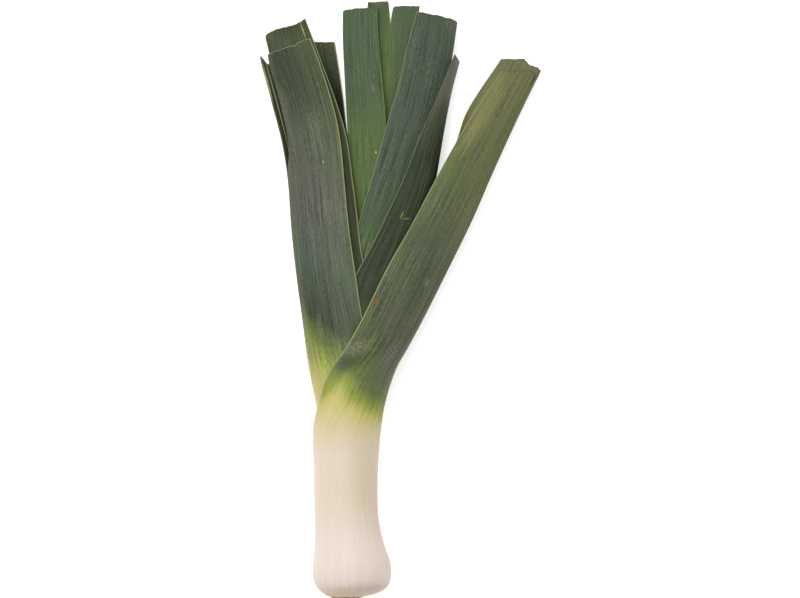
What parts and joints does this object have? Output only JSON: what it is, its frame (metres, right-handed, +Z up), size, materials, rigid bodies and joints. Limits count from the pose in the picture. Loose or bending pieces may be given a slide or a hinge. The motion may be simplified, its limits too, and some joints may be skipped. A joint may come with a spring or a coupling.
{
  "type": "leek",
  "caption": "Whole leek lying on its side: rounded white bulb with trimmed roots, long pale shank and a flat fan of folded green leaves with cut ends.",
  "frame": {"origin": "on the resting surface, under the middle of the leek's box", "axes": "+Z up from the resting surface; +Y along the shank from the root end to the leaf tips; +X across the leaf fan, to the right seen from above with the tips away"},
  "size_m": [0.1686, 0.3596, 0.0473],
  "materials": {
    "root_plate": "dry corky plant tissue with trimmed root stubs",
    "leaf_1_outermost": "waxy leaf, white at the bulb, yellow-green at the neck, olive green above",
    "leaf_2": "waxy grey-green leaf with a bluish bloom",
    "leaf_3": "waxy dark grey-green leaf",
    "leaf_4": "waxy olive green leaf",
    "leaf_5": "waxy blue-green leaf",
    "leaf_6": "waxy bright green leaf",
    "leaf_7_heart": "smooth young yellow-green leaf"
  },
  "bodies": {
    "root": {"root_plate": "root_plate", "leaf_1_outermost": "leaf_1_outermost", "leaf_2": "leaf_2", "leaf_3": "leaf_3", "leaf_4": "leaf_4", "leaf_5": "leaf_5", "leaf_6": "leaf_6", "leaf_7_heart": "leaf_7_heart"}
  },
  "joints": []
}
